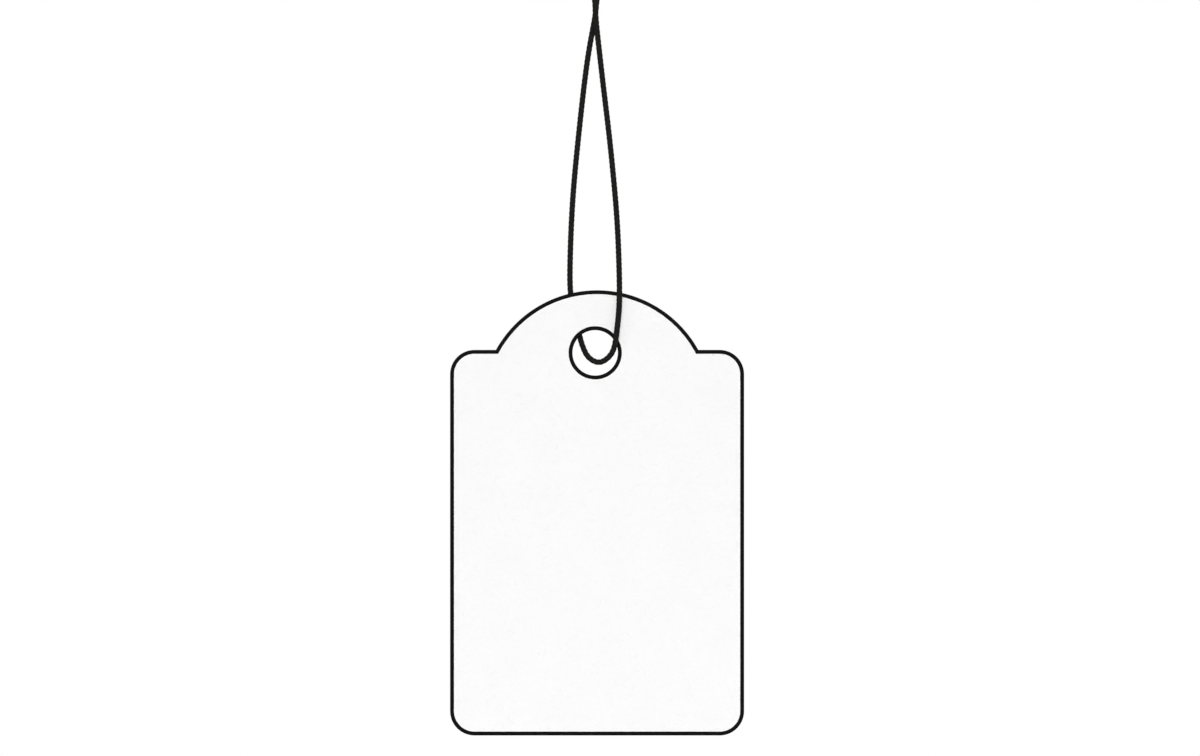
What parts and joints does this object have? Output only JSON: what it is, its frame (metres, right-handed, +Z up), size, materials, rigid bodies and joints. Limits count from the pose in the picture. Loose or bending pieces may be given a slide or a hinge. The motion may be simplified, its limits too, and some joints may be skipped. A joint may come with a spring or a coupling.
{
  "type": "strung price tag",
  "caption": "White card price tag with rounded corners and a domed head, hanging on a black string looped through its punched hole and knotted above.",
  "frame": {"origin": "where the tag hangs: the top of the string's eye, just under its knot, on the card's centre line and middle plane", "axes": "+Z up, +X to the right of someone who reads the front of the card, +Y away from them through the card"},
  "size_m": [0.035, 0.0034, 0.1071],
  "materials": {
    "tag_board": "matte",
    "string": "matte"
  },
  "bodies": {
    "hanger": {"string_front_end": "string", "string_rear_end": "string"},
    "strands": {"string_front_run": "string", "string_rear_run": "string"},
    "bight": {"string_bight": "string"},
    "card": {"tag_card": "tag_board"}
  },
  "joints": [
    {"name": "string_twist", "type": "hinge", "parent": "hanger", "child": "strands", "pos_m": [0, 0, -0.007], "axis": [0, 0, 1], "range_deg": [-170, 170]},
    {"name": "card_flap", "type": "hinge", "parent": "strands", "child": "bight", "pos_m": [0, 0, -0.038], "axis": [1, 0, 0], "range_deg": [-45, 45]},
    {"name": "card_swing", "type": "hinge", "parent": "bight", "child": "card", "pos_m": [-0.00023, 0, -0.04845], "axis": [0, 1, 0], "range_deg": [-60, 60]}
  ]
}
